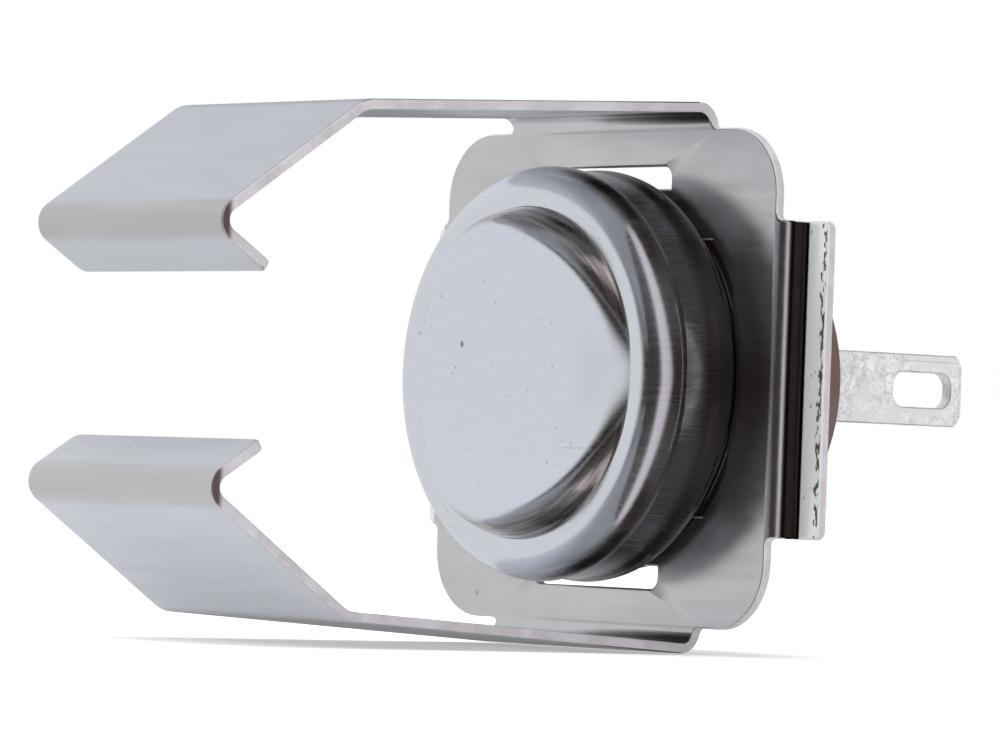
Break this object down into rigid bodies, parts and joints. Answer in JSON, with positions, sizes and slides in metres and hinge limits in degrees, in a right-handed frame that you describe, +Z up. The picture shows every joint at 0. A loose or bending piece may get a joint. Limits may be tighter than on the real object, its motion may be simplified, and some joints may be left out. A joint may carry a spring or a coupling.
{
  "type": "pipe clip thermistor",
  "caption": "Clip-on pipe thermistor: a drawn metal sensing cap with a saddle for the pipe, in a folded spring clip, with two push-on tabs on a brown base behind.",
  "frame": {"origin": "centre of the sensing face, at the bottom of the saddle in the front of the cap", "axes": "-Y out of the sensing face towards the pipe, +Y back along the tabs, X along the pipe, +Z up"},
  "size_m": [0.0232, 0.0375, 0.021],
  "materials": {
    "clip_steel": "satin stainless sheet with fine pits",
    "cap_metal": "bright drawn sheet with fine brushing and small scratches",
    "brown_moulding": "dark brown moulding, slightly glossy",
    "tinned_brass": "tinned, mottled grey",
    "rivet_metal": "plain",
    "strap_brass": "plain",
    "lead_metal": "tinned wire",
    "sleeve_plastic": "white sleeve",
    "chip_ceramic": "sintered disc",
    "dark_resin": "dipped resin",
    "amber_film": "amber film",
    "white_paste": "white paste"
  },
  "bodies": {
    "root": {"spring_clip": "clip_steel", "sensing_cap": "cap_metal", "terminal_base": "brown_moulding", "left_tab": "tinned_brass", "right_tab": "tinned_brass", "left_rivet": "rivet_metal", "right_rivet": "rivet_metal", "left_contact_strap": "strap_brass", "right_contact_strap": "strap_brass", "left_lead_wire": "lead_metal", "right_lead_wire": "lead_metal", "left_wire_sleeve": "sleeve_plastic", "right_wire_sleeve": "sleeve_plastic", "thermistor_chip": "chip_ceramic", "resin_coat": "dark_resin", "insulating_film": "amber_film", "thermal_paste": "white_paste"}
  },
  "joints": []
}
